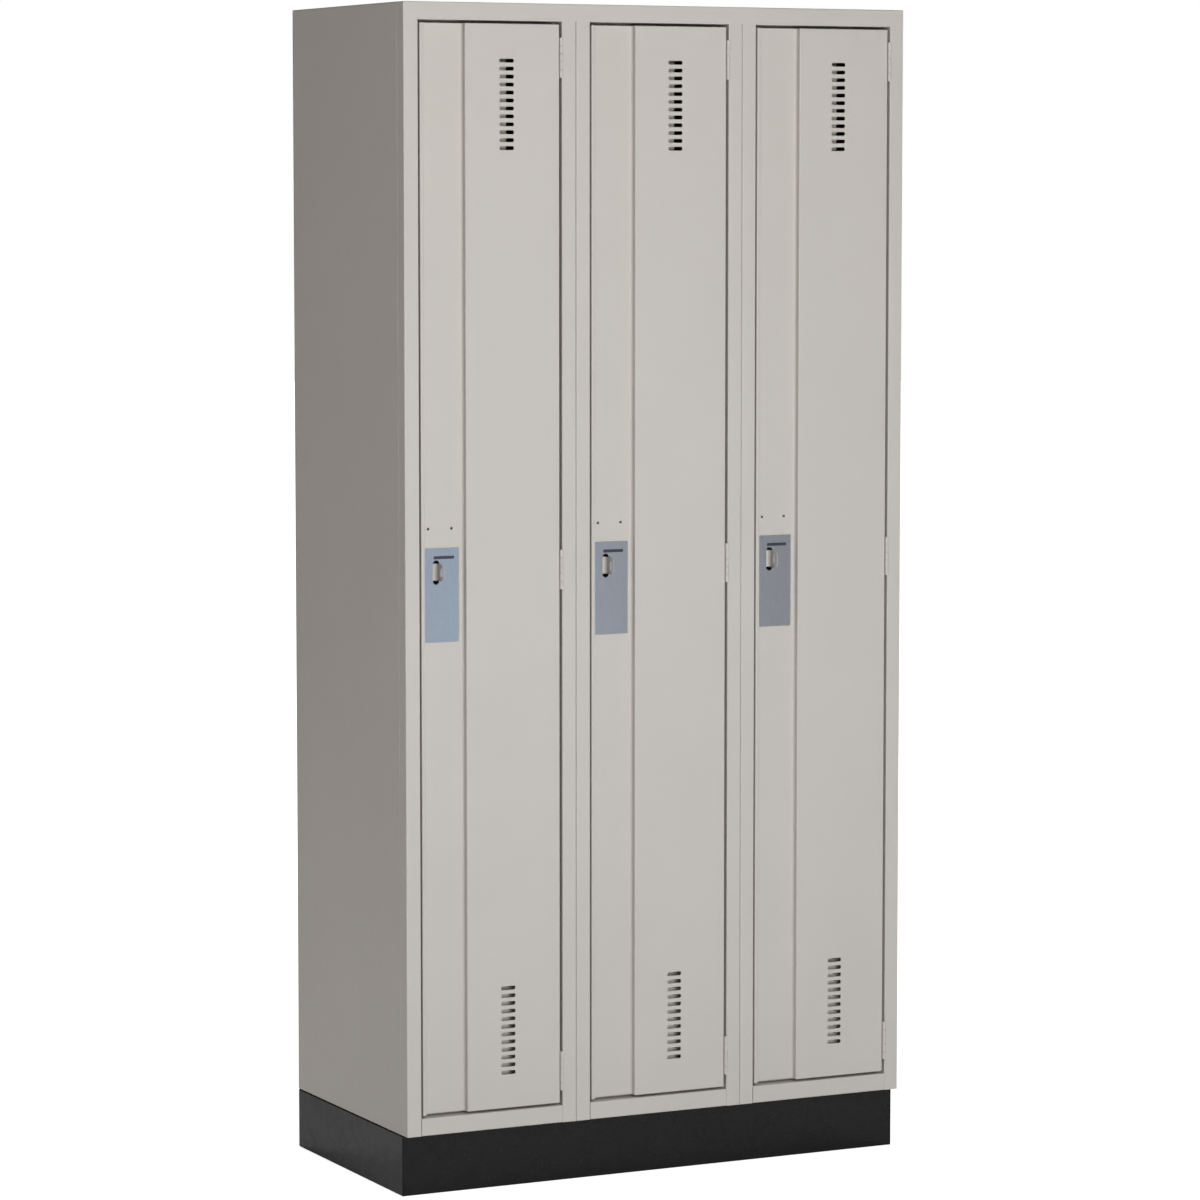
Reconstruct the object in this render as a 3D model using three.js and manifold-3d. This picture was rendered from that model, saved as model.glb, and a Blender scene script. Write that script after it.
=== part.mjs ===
// A bank of three single-tier steel lockers on a recessed base, in millimetres.
// +X runs across the front to the viewer's right, +Y into the lockers and +Z up.
// The origin is on the floor, at the middle of the body's footprint.
// Places are given as x, depth behind the front face of the frame, and height above the floor.
import * as THREE from "three";
import { mergeVertices } from "three/addons/utils/BufferGeometryUtils.js";
import Module from "manifold-3d";

const wasm = await Module();
wasm.setup();

// ---- Driving dimensions ----
const INCH = 25.4;
const LOCKER_COUNT = 3;
const LOCKER_WIDTH = 12 * INCH;
const BODY_DEPTH = 18 * INCH;
const BODY_HEIGHT = 72 * INCH;
const BASE_HEIGHT = 4 * INCH;
const BASE_SETBACK = 22.2; // the base's front stands this far behind the frame
const BODY_WIDTH = LOCKER_COUNT * LOCKER_WIDTH;

const GAP = 0.3; // between pieces that are welded, riveted or laid together
const BODY_SHEET = 1.0;
const FRAME_SHEET = 1.6;
const DOOR_SHEET = 1.2;
const BASE_SHEET = 2.0;
const FLANGE = 12; // the usual turned edge of a body or door sheet

// The frame around each opening
const UPRIGHT_FACE = 25.4;
const RAIL_FACE = 28.6;
const FRAME_RETURN = 25.4; // how far the frame's outer edges turn back
const BEND = 2; // size of the outer bend of a frame member
const STOP_DEPTH = 29.6; // where the flange that the door closes against stands
const STOP_WIDTH = 12;
const BOTTOM_STOP_HEIGHT = 8;

// The door
const DOOR_LEFT = 28;
const DOOR_RIGHT = 274.9;
const DOOR_END_GAP = 4.4; // above and below the door
const DOOR_DEPTH = 28;
const CHANNEL_DEPTH = 12; // the full-height pull channel beside the latch edge
const CHANNEL_LIP = 34.5;
const CHANNEL_FLOOR_START = 38.5;
const CHANNEL_WALL = 107.4;
const CHANNEL_FILLET = 10;
const CHANNEL_CORNER = [3, 2.5]; // across and deep, the slanted corner where the lip meets the floor
const DOOR_BEND = 1; // size of the door's sharp outer bends
const VENT_COUNT = 12;
const VENT_PITCH = INCH / 2;
const VENT_WIDTH = INCH;
const VENT_HEIGHT = INCH / 4;
const VENT_CENTRE = 180.8;
const VENT_END_OFFSET = 59; // from the door's end to the middle of the nearest slot
const INNER_VENT_SHIFT = 24; // the inner pan's slots stand almost wholly beside the outer ones

// The padlock hasp
const HASP_HEIGHT = BASE_HEIGHT + 916.5;
const HASP_SLOT_CENTRE = 58.9;
const HASP_SLOT_WIDTH = 11.4;
const HASP_SLOT_LENGTH = 39;
const STRIKE_SHEET = 4.8;
const STRIKE_HEIGHT = 28;
const STRIKE_DEPTH = 15.5; // front face of the strike's base, just behind the channel floor
const TONGUE_LEFT = 58.4;
const TONGUE_TIP = -10;
const TONGUE_CORNER = 11;
const PADLOCK_HOLE_WIDTH = 9.5;
const PADLOCK_HOLE_HEIGHT = 15;
const PADLOCK_HOLE_DEPTH = -0.9; // middle of the hole
const NOTCH_WIDTH = 40; // how far into the door the pocket for the strike reaches
const PLATE_SHEET = 1.0;
const PLATE_HEIGHT = 6 * INCH;
const PLATE_TOP = BASE_HEIGHT + 955.8;
const PLATE_WRAP = 55; // degrees that the plate follows the channel's fillet
const NUMBER_PLATE_HOLES = [45.4, 86.7];
const NUMBER_PLATE_HEIGHT = BASE_HEIGHT + 987;
const NUMBER_PLATE_HOLE_RADIUS = 1.6;

// The hinges: five knuckles, the first, third and fifth on the frame
const HINGE_LENGTH = 2.5 * INCH;
const HINGE_KNUCKLES = 5;
const HINGE_AXIS_X = 277.15;
const HINGE_AXIS_DEPTH = -2.2;
const HINGE_END_OFFSET = 53.4; // from the door's end to the hinge's middle
const KNUCKLE_RADIUS = 3.1;
const KNUCKLE_GAP = 0.4;
const PIN_RADIUS = 1.6;
const BORE_RADIUS = 2.0;
const LEAF_SHEET = 1.4;
const LEAF_OFFSET = 0.55; // from the axis to the leaf's inner face
const LEAF_END = 24;
const HINGE_SIDES = 8;

// Inside
const FLOOR_TOP = BASE_HEIGHT + 27;
const FLOOR_FLANGE = 20;
const SHELF_TOP = BASE_HEIGHT + 60 * INCH;
const SHELF_LIP = 19;
const SHELF_FRONT = 45;
const HOOK_SHEET = 3;
const HOOK_WIDTH = 14;
const HOOK_PLATE = 13; // half the length of the hook's fixing plate
const HOOK_CURL = 13; // radius of each prong's curl
const HOOK_DROP = 28;
const HOOK_TIP = 12;

const BODY_TOP = BASE_HEIGHT + BODY_HEIGHT;
const OPENING_TOP = BODY_TOP - RAIL_FACE;
const OPENING_BOTTOM = BASE_HEIGHT + RAIL_FACE;
const DOOR_TOP = OPENING_TOP - DOOR_END_GAP;
const DOOR_BOTTOM = OPENING_BOTTOM + DOOR_END_GAP;
const STOP_BACK = STOP_DEPTH + FRAME_SHEET;
const BACK_SHEET_DEPTH = BODY_DEPTH - BODY_SHEET;
const WALL_FRONT = FRAME_RETURN + GAP;
const WALL_BACK = BACK_SHEET_DEPTH - GAP;
const LEFT = -BODY_WIDTH / 2;
const RIGHT = BODY_WIDTH / 2;

const lockerLeft = (index) => LEFT + index * LOCKER_WIDTH;
const yAt = (depth) => depth - BODY_DEPTH / 2;

// ---- Shapes ----

// A geometry as a solid that can be joined and cut.
function solidOf(geometry) {
  const bare = geometry.index ? geometry.toNonIndexed() : geometry.clone();
  bare.deleteAttribute("normal");
  bare.deleteAttribute("uv");
  const merged = mergeVertices(bare, 1e-3);
  return new wasm.Manifold(
    new wasm.Mesh({
      numProp: 3,
      vertProperties: merged.attributes.position.array,
      triVerts: new Uint32Array(merged.index.array),
    }),
  );
}

function geometryOf(solid) {
  const mesh = solid.getMesh();
  const indexed = new THREE.BufferGeometry();
  indexed.setAttribute("position", new THREE.BufferAttribute(mesh.vertProperties, 3));
  indexed.setIndex(new THREE.BufferAttribute(mesh.triVerts, 1));
  const geometry = indexed.toNonIndexed();
  geometry.computeVertexNormals();
  return geometry;
}

function extrude(outline, length) {
  const shape = new THREE.Shape(outline.map(([u, v]) => new THREE.Vector2(u, v)));
  return new THREE.ExtrudeGeometry(shape, { depth: length, bevelEnabled: false });
}

// A prism standing on its plan outline of [x, depth] points.
function planPrism(outline, bottom, top) {
  const geometry = extrude(outline.map(([x, depth]) => [x, yAt(depth)]), top - bottom);
  return solidOf(geometry.translate(0, 0, bottom));
}

// A prism running across, with a section of [depth, height] points.
function crossPrism(section, left, right) {
  const geometry = extrude(section.map(([depth, height]) => [yAt(depth), height]), right - left);
  const turn = new THREE.Matrix4().makeBasis(
    new THREE.Vector3(0, 1, 0),
    new THREE.Vector3(0, 0, 1),
    new THREE.Vector3(1, 0, 0),
  );
  return solidOf(geometry.applyMatrix4(turn).translate(left, 0, 0));
}

// A prism running front to back, with an outline of [x, height] points.
function frontPrism(outline, front, back) {
  const geometry = extrude(outline, back - front);
  const turn = new THREE.Matrix4().makeBasis(
    new THREE.Vector3(1, 0, 0),
    new THREE.Vector3(0, 0, 1),
    new THREE.Vector3(0, -1, 0),
  );
  return solidOf(geometry.applyMatrix4(turn).translate(0, yAt(back), 0));
}

function block(x, depth, height) {
  const geometry = new THREE.BoxGeometry(x[1] - x[0], depth[1] - depth[0], height[1] - height[0]);
  geometry.translate((x[0] + x[1]) / 2, yAt((depth[0] + depth[1]) / 2), (height[0] + height[1]) / 2);
  return solidOf(geometry);
}

const join = (solids) => solids.reduce((whole, piece) => whole.add(piece));
const cut = (solid, tools) => tools.reduce((whole, tool) => whole.subtract(tool), solid);

// The outline of a sheet bent along a path, with its thickness to the left of the path.
function bentSheet(path, thickness) {
  const inner = path.map((point, i) => {
    const before = i > 0 ? leftNormal(path[i - 1], point) : leftNormal(point, path[i + 1]);
    const after = i < path.length - 1 ? leftNormal(point, path[i + 1]) : before;
    const scale = thickness / (1 + before[0] * after[0] + before[1] * after[1]);
    return [point[0] + (before[0] + after[0]) * scale, point[1] + (before[1] + after[1]) * scale];
  });
  return [...path, ...inner.reverse()];
}

function leftNormal(from, to) {
  const length = Math.hypot(to[0] - from[0], to[1] - from[1]);
  return [(from[1] - to[1]) / length, (to[0] - from[0]) / length];
}

// Points along an arc, in degrees, both ends included.
function arc(centre, radius, startDegrees, endDegrees, steps) {
  return Array.from({ length: steps + 1 }, (_, i) => {
    const angle = THREE.MathUtils.degToRad(startDegrees + ((endDegrees - startDegrees) * i) / steps);
    return [centre[0] + radius * Math.cos(angle), centre[1] + radius * Math.sin(angle)];
  });
}

const circle = (centre, radius, sides) => arc(centre, radius, 0, 360, sides).slice(0, -1);

// An upright slot with round ends.
function obround(centre, width, height, steps) {
  const radius = width / 2;
  const rise = height / 2 - radius;
  return [
    ...arc([centre[0], centre[1] + rise], radius, 0, 180, steps),
    ...arc([centre[0], centre[1] - rise], radius, 180, 360, steps),
  ];
}

// ---- Materials ----
const paint = () => new THREE.MeshStandardMaterial({ color: 0xc8c5c0, roughness: 0.5, metalness: 0.0 });
const blackPaint = () => new THREE.MeshStandardMaterial({ color: 0x232021, roughness: 0.35, metalness: 0.0 });
const stainless = () => new THREE.MeshStandardMaterial({ color: 0x8c919b, roughness: 0.3, metalness: 1.0 });
const zinc = () => new THREE.MeshStandardMaterial({ color: 0xa8abae, roughness: 0.4, metalness: 1.0 });

const lockers = new THREE.Group();

function addPiece(name, solid, material) {
  const mesh = new THREE.Mesh(geometryOf(solid), material);
  mesh.name = name;
  lockers.add(mesh);
}

// ---- Base ----

function baseRail(front) {
  const inward = front ? 1 : -1;
  const face = front ? BASE_SETBACK : BODY_DEPTH;
  const flangeEnd = face + inward * 30;
  const top = BASE_HEIGHT - GAP;
  const path = [[flangeEnd, top], [face, top], [face, 0], [flangeEnd, 0]];
  const outline = bentSheet(front ? path : path.reverse(), BASE_SHEET);
  const inset = BASE_SHEET + GAP;
  return crossPrism(outline, LEFT + inset, RIGHT - inset);
}

function baseEnd(side) {
  const face = side * (BODY_WIDTH / 2);
  const across = (reach) => [face, face - side * reach].sort((a, b) => a - b);
  const top = BASE_HEIGHT - GAP;
  const flangeSpan = [BASE_SETBACK + 30 + GAP, BODY_DEPTH - 30 - GAP];
  return join([
    block(across(BASE_SHEET), [BASE_SETBACK, BODY_DEPTH], [0, top]),
    block(across(30), flangeSpan, [0, BASE_SHEET]),
    block(across(30), flangeSpan, [top - BASE_SHEET, top]),
  ]);
}

addPiece("base_front", baseRail(true), blackPaint());
addPiece("base_back", baseRail(false), blackPaint());
addPiece("base_end_left", baseEnd(-1), blackPaint());
addPiece("base_end_right", baseEnd(1), blackPaint());

// ---- Body sheets ----

// An upright sheet between the frame and the back, with one face at faceX and its thickness towards
// +X (side 1) or -X (side -1).
function wall(faceX, side) {
  const across = [faceX, faceX + side * BODY_SHEET].sort((a, b) => a - b);
  return block(across, [WALL_FRONT, WALL_BACK], [BASE_HEIGHT, BODY_TOP - BODY_SHEET - GAP]);
}

addPiece("side_panel_left", wall(LEFT, 1), paint());
addPiece("side_panel_right", wall(RIGHT, -1), paint());
for (let i = 1; i < LOCKER_COUNT; i++)
  addPiece(`partition_${i}`, wall(lockerLeft(i) - BODY_SHEET / 2, 1), paint());
addPiece(
  "back_panel",
  block([LEFT, RIGHT], [BACK_SHEET_DEPTH, BODY_DEPTH], [BASE_HEIGHT, BODY_TOP - BODY_SHEET - GAP]),
  paint(),
);
addPiece(
  "top_panel",
  block([LEFT, RIGHT], [WALL_FRONT, BODY_DEPTH], [BODY_TOP - BODY_SHEET, BODY_TOP]),
  paint(),
);

// ---- Frame ----

// The upright on the left of an opening, or its mirror image on the right. outer is the edge away
// from the opening and inward is +1 when the opening lies towards +X.
function upright(outer, inward) {
  const jamb = outer + inward * UPRIGHT_FACE;
  const edge = outer + inward * (GAP / 2);
  const path = [
    [edge, FRAME_RETURN],
    [edge, BEND],
    [edge + inward * BEND, 0],
    [jamb - inward * BEND, 0],
    [jamb, BEND],
    [jamb, STOP_DEPTH],
    [jamb + inward * STOP_WIDTH, STOP_DEPTH],
  ];
  const outline = bentSheet(inward > 0 ? path : path.reverse(), FRAME_SHEET);
  return planPrism(outline, BASE_HEIGHT, OPENING_TOP - GAP);
}

// One rail over all the openings, with a stop behind each door.
function topRail() {
  const outside = [
    [FRAME_RETURN, BODY_TOP],
    [BEND, BODY_TOP],
    [0, BODY_TOP - BEND],
    [0, OPENING_TOP + BEND],
    [BEND, OPENING_TOP],
    [FRAME_RETURN, OPENING_TOP],
  ];
  const rail = crossPrism(bentSheet(outside, FRAME_SHEET), LEFT, RIGHT);
  const ends = [
    crossPrism(outside, LEFT, LEFT + FRAME_SHEET),
    crossPrism(outside, RIGHT - FRAME_SHEET, RIGHT),
  ];
  const stops = Array.from({ length: LOCKER_COUNT }, (_, i) => {
    const across = [
      lockerLeft(i) + UPRIGHT_FACE + STOP_WIDTH + GAP,
      lockerLeft(i + 1) - UPRIGHT_FACE - STOP_WIDTH - GAP,
    ];
    return join([
      block(across, [FRAME_RETURN - 1, STOP_BACK], [OPENING_TOP, OPENING_TOP + FRAME_SHEET]),
      block(across, [STOP_DEPTH, STOP_BACK], [OPENING_TOP - STOP_WIDTH, OPENING_TOP + FRAME_SHEET]),
    ]);
  });
  return join([rail, ...ends, ...stops]);
}

// The rail under one opening, between its uprights.
function bottomRail(index) {
  const left = lockerLeft(index) + UPRIGHT_FACE + GAP;
  const right = lockerLeft(index + 1) - UPRIGHT_FACE - GAP;
  const ledgeBack = STOP_DEPTH - GAP;
  const section = bentSheet(
    [
      [FRAME_RETURN, BASE_HEIGHT],
      [BEND, BASE_HEIGHT],
      [0, BASE_HEIGHT + BEND],
      [0, OPENING_BOTTOM - BEND],
      [BEND, OPENING_BOTTOM],
      [ledgeBack, OPENING_BOTTOM],
    ].reverse(),
    FRAME_SHEET,
  );
  const stop = [left + STOP_WIDTH, right - STOP_WIDTH];
  return join([
    crossPrism(section, left, right),
    block(stop, [ledgeBack - FRAME_SHEET, STOP_BACK], [OPENING_BOTTOM - FRAME_SHEET, OPENING_BOTTOM]),
    block(
      stop,
      [STOP_DEPTH, STOP_BACK],
      [OPENING_BOTTOM - FRAME_SHEET, OPENING_BOTTOM + BOTTOM_STOP_HEIGHT],
    ),
  ]);
}

addPiece("top_rail", topRail(), paint());
for (let i = 0; i < LOCKER_COUNT; i++) {
  addPiece(`upright_latch_${i + 1}`, upright(lockerLeft(i), 1), paint());
  addPiece(`upright_hinge_${i + 1}`, upright(lockerLeft(i + 1), -1), paint());
  addPiece(`bottom_rail_${i + 1}`, bottomRail(i), paint());
}

// ---- Inside each locker ----

// A floor with its two side edges turned down.
function floorPan(left) {
  const [west, east] = [left + BODY_SHEET + GAP, left + LOCKER_WIDTH - BODY_SHEET - GAP];
  const path = [
    [east, FLOOR_TOP - FLOOR_FLANGE],
    [east, FLOOR_TOP],
    [west, FLOOR_TOP],
    [west, FLOOR_TOP - FLOOR_FLANGE],
  ];
  return frontPrism(bentSheet(path, BODY_SHEET), STOP_BACK + GAP, WALL_BACK - BODY_SHEET - GAP);
}

// A hat shelf with a deep lip turned down at the front and a shallow one at the back.
function shelf(left) {
  const back = WALL_BACK - BODY_SHEET - GAP;
  const path = [
    [back, SHELF_TOP - FLANGE],
    [back, SHELF_TOP],
    [SHELF_FRONT, SHELF_TOP],
    [SHELF_FRONT, SHELF_TOP - SHELF_LIP],
  ];
  const inset = BODY_SHEET + GAP;
  return crossPrism(bentSheet(path, BODY_SHEET), left + inset, left + LOCKER_WIDTH - inset);
}

// A two-pronged coat hook under the shelf, bent from one strip.
function ceilingHook(left) {
  const middle = left + LOCKER_WIDTH / 2;
  const underside = SHELF_TOP - BODY_SHEET - GAP;
  const prong = [
    [HOOK_PLATE, 0],
    [HOOK_PLATE, -HOOK_DROP],
    ...arc([HOOK_PLATE + HOOK_CURL, -HOOK_DROP], HOOK_CURL, 180, 360, 6).slice(1),
    [HOOK_PLATE + 2 * HOOK_CURL, HOOK_TIP - HOOK_DROP],
  ];
  const mirrored = prong.map(([x, z]) => [-x, z]).reverse();
  const path = [...prong.reverse(), ...mirrored].map(([x, z]) => [middle + x, underside + z]);
  const halfWidth = HOOK_WIDTH / 2;
  return frontPrism(bentSheet(path, HOOK_SHEET), BODY_DEPTH / 2 - halfWidth, BODY_DEPTH / 2 + halfWidth);
}

for (let i = 0; i < LOCKER_COUNT; i++) {
  addPiece(`floor_pan_${i + 1}`, floorPan(lockerLeft(i)), paint());
  addPiece(`hat_shelf_${i + 1}`, shelf(lockerLeft(i)), paint());
  addPiece(`coat_hook_${i + 1}`, ceilingHook(lockerLeft(i)), zinc());
}

// ---- Padlock strike: a base on the latch jamb and a tongue that passes through the door ----

function strike(left) {
  const [low, high] = [HASP_HEIGHT - STRIKE_HEIGHT / 2, HASP_HEIGHT + STRIKE_HEIGHT / 2];
  const base = block(
    [left + UPRIGHT_FACE + GAP, left + TONGUE_LEFT + STRIKE_SHEET],
    [STRIKE_DEPTH, STRIKE_DEPTH + STRIKE_SHEET],
    [low, high],
  );
  const tongueOutline = [
    [STRIKE_DEPTH + STRIKE_SHEET, low],
    [STRIKE_DEPTH + STRIKE_SHEET, high],
    ...arc([TONGUE_TIP + TONGUE_CORNER, high - TONGUE_CORNER], TONGUE_CORNER, 90, 180, 6),
    ...arc([TONGUE_TIP + TONGUE_CORNER, low + TONGUE_CORNER], TONGUE_CORNER, 180, 270, 6),
  ];
  const tongueRight = left + TONGUE_LEFT + STRIKE_SHEET;
  const tongue = crossPrism(tongueOutline, left + TONGUE_LEFT, tongueRight);
  const holeOutline = obround([PADLOCK_HOLE_DEPTH, HASP_HEIGHT], PADLOCK_HOLE_WIDTH, PADLOCK_HOLE_HEIGHT, 6);
  const hole = crossPrism(holeOutline, left + TONGUE_LEFT - 1, tongueRight + 1);
  return cut(join([base, tongue]), [hole]);
}

for (let i = 0; i < LOCKER_COUNT; i++) addPiece(`padlock_strike_${i + 1}`, strike(lockerLeft(i)), paint());

// ---- Door ----

// The visible line of the door in plan, from the latch edge to the hinge edge.
function doorFace(left) {
  const filletCentre = [CHANNEL_WALL - CHANNEL_FILLET, CHANNEL_DEPTH - CHANNEL_FILLET];
  const face = [
    [DOOR_LEFT, DOOR_BEND],
    [DOOR_LEFT + DOOR_BEND, 0],
    [CHANNEL_LIP, 0],
    [CHANNEL_LIP + DOOR_BEND, DOOR_BEND],
    [CHANNEL_FLOOR_START - CHANNEL_CORNER[0], CHANNEL_DEPTH - CHANNEL_CORNER[1]],
    [CHANNEL_FLOOR_START, CHANNEL_DEPTH],
    ...arc(filletCentre, CHANNEL_FILLET, 90, 0, 5),
    [CHANNEL_WALL, DOOR_BEND],
    [CHANNEL_WALL + DOOR_BEND, 0],
    [DOOR_RIGHT - DOOR_BEND, 0],
    [DOOR_RIGHT, DOOR_BEND],
  ];
  return face.map(([x, depth]) => [left + x, depth]);
}

const ventHeights = Array.from({ length: VENT_COUNT }, (_, i) => i * VENT_PITCH).flatMap((offset) => [
  DOOR_TOP - VENT_END_OFFSET - offset,
  DOOR_BOTTOM + VENT_END_OFFSET + offset,
]);

function ventCutters(centreX, depth) {
  const across = [centreX - VENT_WIDTH / 2, centreX + VENT_WIDTH / 2];
  return ventHeights.map((height) =>
    block(across, depth, [height - VENT_HEIGHT / 2, height + VENT_HEIGHT / 2]),
  );
}

// The pocket that lets the door close over the strike's base.
function strikePocket(left, front) {
  return block(
    [left + DOOR_LEFT - 1, left + DOOR_LEFT + NOTCH_WIDTH],
    [front, DOOR_DEPTH + 1],
    [HASP_HEIGHT - HASP_SLOT_LENGTH / 2, HASP_HEIGHT + HASP_SLOT_LENGTH / 2],
  );
}

function haspSlot(left, extra, front, back) {
  const centre = [left + HASP_SLOT_CENTRE, HASP_HEIGHT];
  const outline = obround(centre, HASP_SLOT_WIDTH + extra, HASP_SLOT_LENGTH + extra, 6);
  return frontPrism(outline, front, back);
}

function doorOuter(left) {
  const face = doorFace(left);
  const wrapped = [[left + DOOR_LEFT, DOOR_DEPTH], ...face, [left + DOOR_RIGHT, DOOR_DEPTH]];
  const skin = planPrism(bentSheet(wrapped, DOOR_SHEET), DOOR_BOTTOM, DOOR_TOP);
  const caps = [
    planPrism(wrapped, DOOR_BOTTOM, DOOR_BOTTOM + DOOR_SHEET),
    planPrism(wrapped, DOOR_TOP - DOOR_SHEET, DOOR_TOP),
  ];
  const plateHoles = NUMBER_PLATE_HOLES.map((x) =>
    frontPrism(circle([left + x, NUMBER_PLATE_HEIGHT], NUMBER_PLATE_HOLE_RADIUS, 8), 8, 16),
  );
  return cut(join([skin, ...caps]), [
    ...ventCutters(left + VENT_CENTRE, [-1, DOOR_SHEET + 1]),
    haspSlot(left, 2, 8, 16),
    strikePocket(left, CHANNEL_DEPTH + DOOR_SHEET + 0.8),
    ...plateHoles,
  ]);
}

function doorInner(left) {
  const [west, east] = [left + DOOR_LEFT + DOOR_SHEET + GAP, left + DOOR_RIGHT - DOOR_SHEET - GAP];
  const flangeFront = DOOR_DEPTH - FLANGE;
  const path = [[east, flangeFront], [east, DOOR_DEPTH], [west, DOOR_DEPTH], [west, flangeFront]];
  const inset = DOOR_SHEET + GAP;
  const pan = planPrism(bentSheet(path, DOOR_SHEET), DOOR_BOTTOM + inset, DOOR_TOP - inset);
  return cut(pan, [
    ...ventCutters(left + VENT_CENTRE + INNER_VENT_SHIFT, [DOOR_DEPTH - DOOR_SHEET - 1, DOOR_DEPTH + 1]),
    strikePocket(left, flangeFront - 1),
  ]);
}

// The stainless plate behind the padlock, laid in the channel and up its fillet.
function pullPlate(left) {
  const filletCentre = [CHANNEL_WALL - CHANNEL_FILLET, CHANNEL_DEPTH - CHANNEL_FILLET];
  const path = [
    [CHANNEL_FLOOR_START + GAP, CHANNEL_DEPTH - GAP],
    ...arc(filletCentre, CHANNEL_FILLET - GAP, 90, 90 - PLATE_WRAP, 4),
  ].map(([x, depth]) => [left + x, depth]);
  const plate = planPrism(bentSheet(path.reverse(), PLATE_SHEET), PLATE_TOP - PLATE_HEIGHT, PLATE_TOP);
  return cut(plate, [haspSlot(left, 0, 8, 14)]);
}

for (let i = 0; i < LOCKER_COUNT; i++) {
  addPiece(`door_outer_${i + 1}`, doorOuter(lockerLeft(i)), paint());
  addPiece(`door_inner_${i + 1}`, doorInner(lockerLeft(i)), paint());
  addPiece(`pull_plate_${i + 1}`, pullPlate(lockerLeft(i)), stainless());
}

// ---- Hinges ----

const knucklePitch = HINGE_LENGTH / HINGE_KNUCKLES;

function knuckleSpan(bottom, index) {
  const low = bottom + index * knucklePitch + KNUCKLE_GAP / 2;
  return [low, low + knucklePitch - KNUCKLE_GAP];
}

// A leaf beside the axis (side +1 towards the frame, -1 towards the door) and its knuckles.
function hingeLeaf(left, bottom, side, knuckles) {
  const axis = [left + HINGE_AXIS_X, HINGE_AXIS_DEPTH];
  const near = axis[0] + side * LEAF_OFFSET;
  const span = [near, near + side * LEAF_SHEET].sort((a, b) => a - b);
  const clearOfKnuckles = HINGE_AXIS_DEPTH + KNUCKLE_RADIUS + KNUCKLE_GAP;
  const leaf = block(span, [clearOfKnuckles, LEAF_END], [bottom, bottom + HINGE_LENGTH]);
  const tabs = knuckles.map((k) =>
    block(span, [HINGE_AXIS_DEPTH + BORE_RADIUS + 0.1, clearOfKnuckles + 1], knuckleSpan(bottom, k)),
  );
  const barrels = knuckles.map((k) =>
    planPrism(circle(axis, KNUCKLE_RADIUS, HINGE_SIDES), ...knuckleSpan(bottom, k)),
  );
  return join([leaf, ...tabs, ...barrels]);
}

// The frame's leaf carries the pin, which is staked in its knuckles.
function frameLeaf(left, bottom) {
  const axis = [left + HINGE_AXIS_X, HINGE_AXIS_DEPTH];
  const pin = planPrism(circle(axis, PIN_RADIUS, HINGE_SIDES), bottom, bottom + HINGE_LENGTH);
  return join([hingeLeaf(left, bottom, 1, [0, 2, 4]), pin]);
}

function doorLeaf(left, bottom) {
  const axis = [left + HINGE_AXIS_X, HINGE_AXIS_DEPTH];
  const bore = planPrism(circle(axis, BORE_RADIUS, HINGE_SIDES), bottom - 1, bottom + HINGE_LENGTH + 1);
  return cut(hingeLeaf(left, bottom, -1, [1, 3]), [bore]);
}

const hingeHeights = {
  top: DOOR_TOP - HINGE_END_OFFSET,
  middle: (DOOR_TOP + DOOR_BOTTOM) / 2,
  bottom: DOOR_BOTTOM + HINGE_END_OFFSET,
};
for (let i = 0; i < LOCKER_COUNT; i++)
  for (const [place, height] of Object.entries(hingeHeights)) {
    const bottom = height - HINGE_LENGTH / 2;
    addPiece(`hinge_frame_leaf_${i + 1}_${place}`, frameLeaf(lockerLeft(i), bottom), paint());
    addPiece(`hinge_door_leaf_${i + 1}_${place}`, doorLeaf(lockerLeft(i), bottom), paint());
  }

export default lockers;
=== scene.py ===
"""Looks for the bank of three lockers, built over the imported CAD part. All lengths are in metres."""

import math

import bmesh
import bpy
from mathutils import Matrix, Vector


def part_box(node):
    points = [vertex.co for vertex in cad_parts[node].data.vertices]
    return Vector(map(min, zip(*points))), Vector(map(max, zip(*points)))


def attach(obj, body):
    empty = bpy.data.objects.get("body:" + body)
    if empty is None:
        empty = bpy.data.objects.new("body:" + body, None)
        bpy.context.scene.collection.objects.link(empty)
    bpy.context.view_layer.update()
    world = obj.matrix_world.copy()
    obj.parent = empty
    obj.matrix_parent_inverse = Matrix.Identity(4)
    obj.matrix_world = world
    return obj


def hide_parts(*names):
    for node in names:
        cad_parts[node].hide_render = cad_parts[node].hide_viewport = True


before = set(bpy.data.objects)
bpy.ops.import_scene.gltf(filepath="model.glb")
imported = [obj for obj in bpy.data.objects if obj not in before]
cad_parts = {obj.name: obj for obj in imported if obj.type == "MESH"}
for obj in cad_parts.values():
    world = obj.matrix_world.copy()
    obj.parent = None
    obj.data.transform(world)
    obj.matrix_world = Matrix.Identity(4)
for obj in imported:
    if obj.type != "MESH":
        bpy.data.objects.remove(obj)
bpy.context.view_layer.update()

MM = 0.001
LOCKERS = (1, 2, 3)
PLACES = ("top", "middle", "bottom")

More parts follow.
